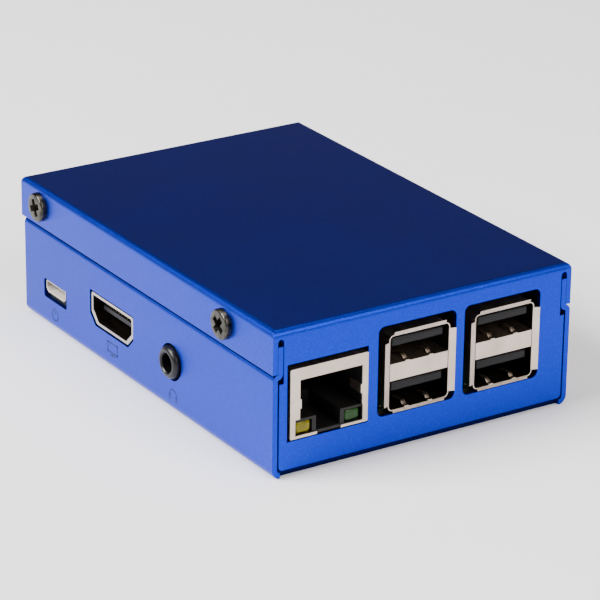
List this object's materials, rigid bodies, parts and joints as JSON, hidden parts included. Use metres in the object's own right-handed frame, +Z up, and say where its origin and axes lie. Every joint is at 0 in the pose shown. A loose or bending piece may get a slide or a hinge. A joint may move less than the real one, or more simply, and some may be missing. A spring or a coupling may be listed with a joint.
{
  "type": "single board computer",
  "caption": "Credit-card sized single board computer in a folded blue aluminium case, with USB, network, HDMI, power and audio sockets.",
  "frame": {"origin": "centre of the tray's underside, on the surface it stands on", "axes": "+X towards the USB and network ports, -Y towards the power, HDMI and audio side, +Z up"},
  "size_m": [0.0901, 0.065, 0.0273],
  "materials": {
    "blue_anodised": "bead-blasted, blue anodised",
    "dark_screw_steel": "blackened steel",
    "zinc_steel": "bright zinc plate",
    "board_laminate": "green solder mask",
    "connector_steel": "nickel-plated sheet",
    "black_moulding": "satin",
    "usb_tongue_moulding": "satin",
    "jack_moulding": "semi-gloss",
    "contact_gold": "gold flash",
    "yellow_lens": "clear lens",
    "green_lens": "clear lens",
    "tinned_lead": "tinned",
    "chip_package": "moulded epoxy",
    "fuse_green": "satin",
    "ferrite": "sintered",
    "capacitor_can": "drawn aluminium",
    "ceramic_tan": "ceramic",
    "resistor_black": "ceramic",
    "light_white": "clear lens",
    "white_moulding": "satin",
    "spring_steel": "drawn wire",
    "card_plastic": "satin",
    "latch_moulding": "satin"
  },
  "bodies": {
    "case_and_board": {"activity_light_green": "green_lens", "audio_filter_chip": "chip_package", "av_jack_body": "jack_moulding", "av_jack_contacts": "tinned_lead", "base_tray": "blue_anodised", "board_pillars": "zinc_steel", "board_screws": "zinc_steel", "camera_connector_body": "white_moulding", "camera_connector_leads": "tinned_lead", "can_capacitors": "capacitor_can", "ceramic_capacitors": "ceramic_tan", "chip_resistors": "resistor_black", "circuit_board": "board_laminate", "clinch_nuts": "zinc_steel", "crystals": "capacitor_can", "display_connector_body": "white_moulding", "display_connector_leads": "tinned_lead", "ethernet_contacts": "contact_gold", "ethernet_housing": "black_moulding", "ethernet_shield": "connector_steel", "hdmi_contacts": "contact_gold", "hdmi_shell": "connector_steel", "hdmi_tongue": "black_moulding", "header_base": "black_moulding", "header_pins": "contact_gold", "input_fuse": "fuse_green", "lid_cover": "blue_anodised", "lid_screws": "dark_screw_steel", "link_light_yellow": "yellow_lens", "memory_chip": "chip_package", "power_inductors": "ferrite", "power_regulator": "chip_package", "power_socket_shell": "connector_steel", "power_socket_tongue": "black_moulding", "processor": "chip_package", "sd_socket_base": "black_moulding", "sd_socket_contacts": "contact_gold", "sd_socket_cover": "connector_steel", "sd_spring": "spring_steel", "status_lights": "light_white", "usb_contacts_1": "contact_gold", "usb_contacts_2": "contact_gold", "usb_network_chip": "chip_package", "usb_shell_1": "connector_steel", "usb_shell_2": "connector_steel", "usb_tongues_1": "usb_tongue_moulding", "usb_tongues_2": "usb_tongue_moulding"},
    "sd_slider": {"sd_slider": "white_moulding"},
    "sd_card": {"sd_card": "card_plastic"},
    "camera_latch": {"camera_connector_latch": "latch_moulding"},
    "display_latch": {"display_connector_latch": "latch_moulding"}
  },
  "joints": [
    {"name": "card_slider_travel", "type": "slide", "parent": "case_and_board", "child": "sd_slider", "axis": [-1, 0, 0], "range_m": [-0.0004, 0.0016]},
    {"name": "card_slide", "type": "slide", "parent": "sd_slider", "child": "sd_card", "axis": [-1, 0, 0], "range_m": [0, 0.0135]},
    {"name": "camera_latch_lift", "type": "slide", "parent": "case_and_board", "child": "camera_latch", "axis": [0, 0, 1], "range_m": [0, 0.0012]},
    {"name": "display_latch_lift", "type": "slide", "parent": "case_and_board", "child": "display_latch", "axis": [0, 0, 1], "range_m": [0, 0.0012]}
  ]
}
